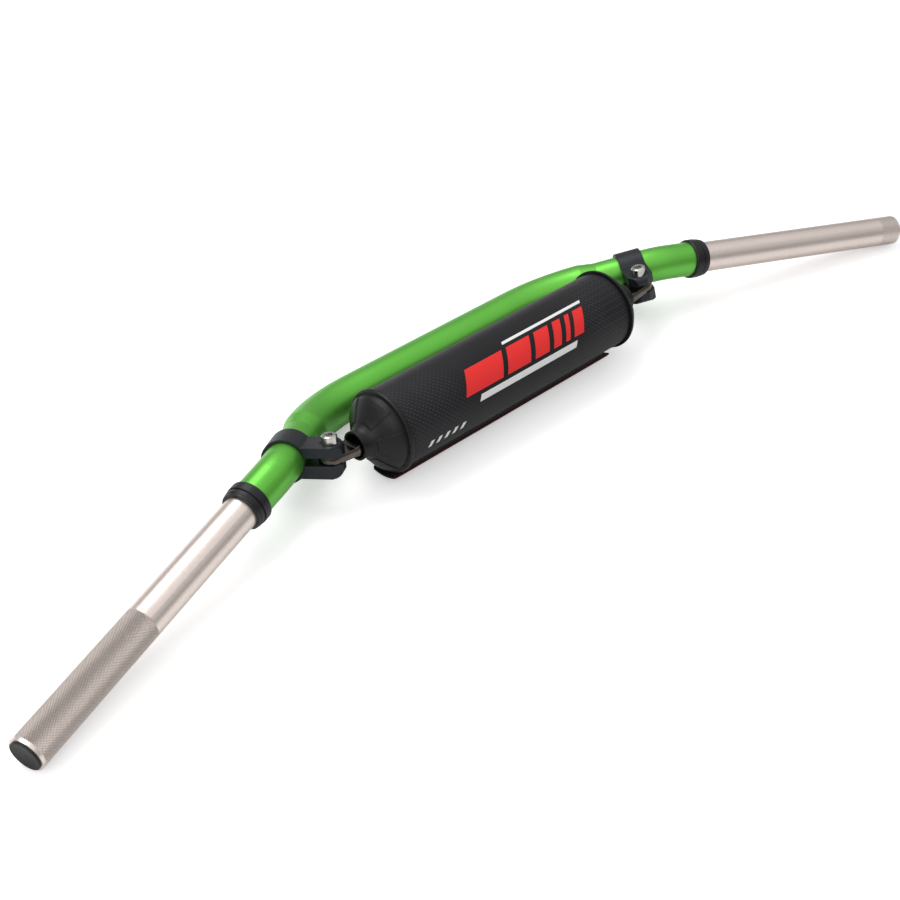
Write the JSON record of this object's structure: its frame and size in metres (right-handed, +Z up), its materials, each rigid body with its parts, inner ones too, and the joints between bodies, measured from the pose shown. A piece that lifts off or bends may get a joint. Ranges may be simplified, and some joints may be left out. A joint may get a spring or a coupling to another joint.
{
  "type": "motocross handlebar",
  "caption": "Motocross handlebar with a green anodised outer tube, titanium-grey ends, a bolted crossbar and a black round pad.",
  "frame": {"origin": "middle of the straight centre tube, on its axis, where a bar mount clamps it", "axes": "+X along the centre tube, +Z up with the bar lying on its two tips and its centre tube, -Y towards the rise and the tips"},
  "size_m": [0.8112, 0.1359, 0.064],
  "materials": {
    "anodised_tube": "satin green anodising",
    "inner_tube": "fine brushed, titanium grey",
    "collars": "satin black anodising",
    "clamps": "satin black anodising",
    "bolts": "bright zinc plated",
    "crossbar": "polished bronze-grey anodising",
    "foam": "matte closed-cell foam",
    "cover": "coated cloth with a fine woven print",
    "fastener_strips": "matte",
    "pad_ends": "matte moulded",
    "end_plugs": "matte"
  },
  "bodies": {
    "root": {"outer_tube": "anodised_tube", "inner_tube": "inner_tube", "left_end_collar": "collars", "right_end_collar": "collars", "left_crossbar_clamp": "clamps", "right_crossbar_clamp": "clamps", "left_clamp_bolt": "bolts", "right_clamp_bolt": "bolts", "left_clamp_nut": "bolts", "right_clamp_nut": "bolts", "crossbar": "crossbar", "pad_foam": "foam", "pad_cover": "cover", "hook_strip": "fastener_strips", "loop_strip": "fastener_strips", "left_pad_end": "pad_ends", "right_pad_end": "pad_ends", "left_end_plug": "end_plugs", "right_end_plug": "end_plugs"}
  },
  "joints": []
}
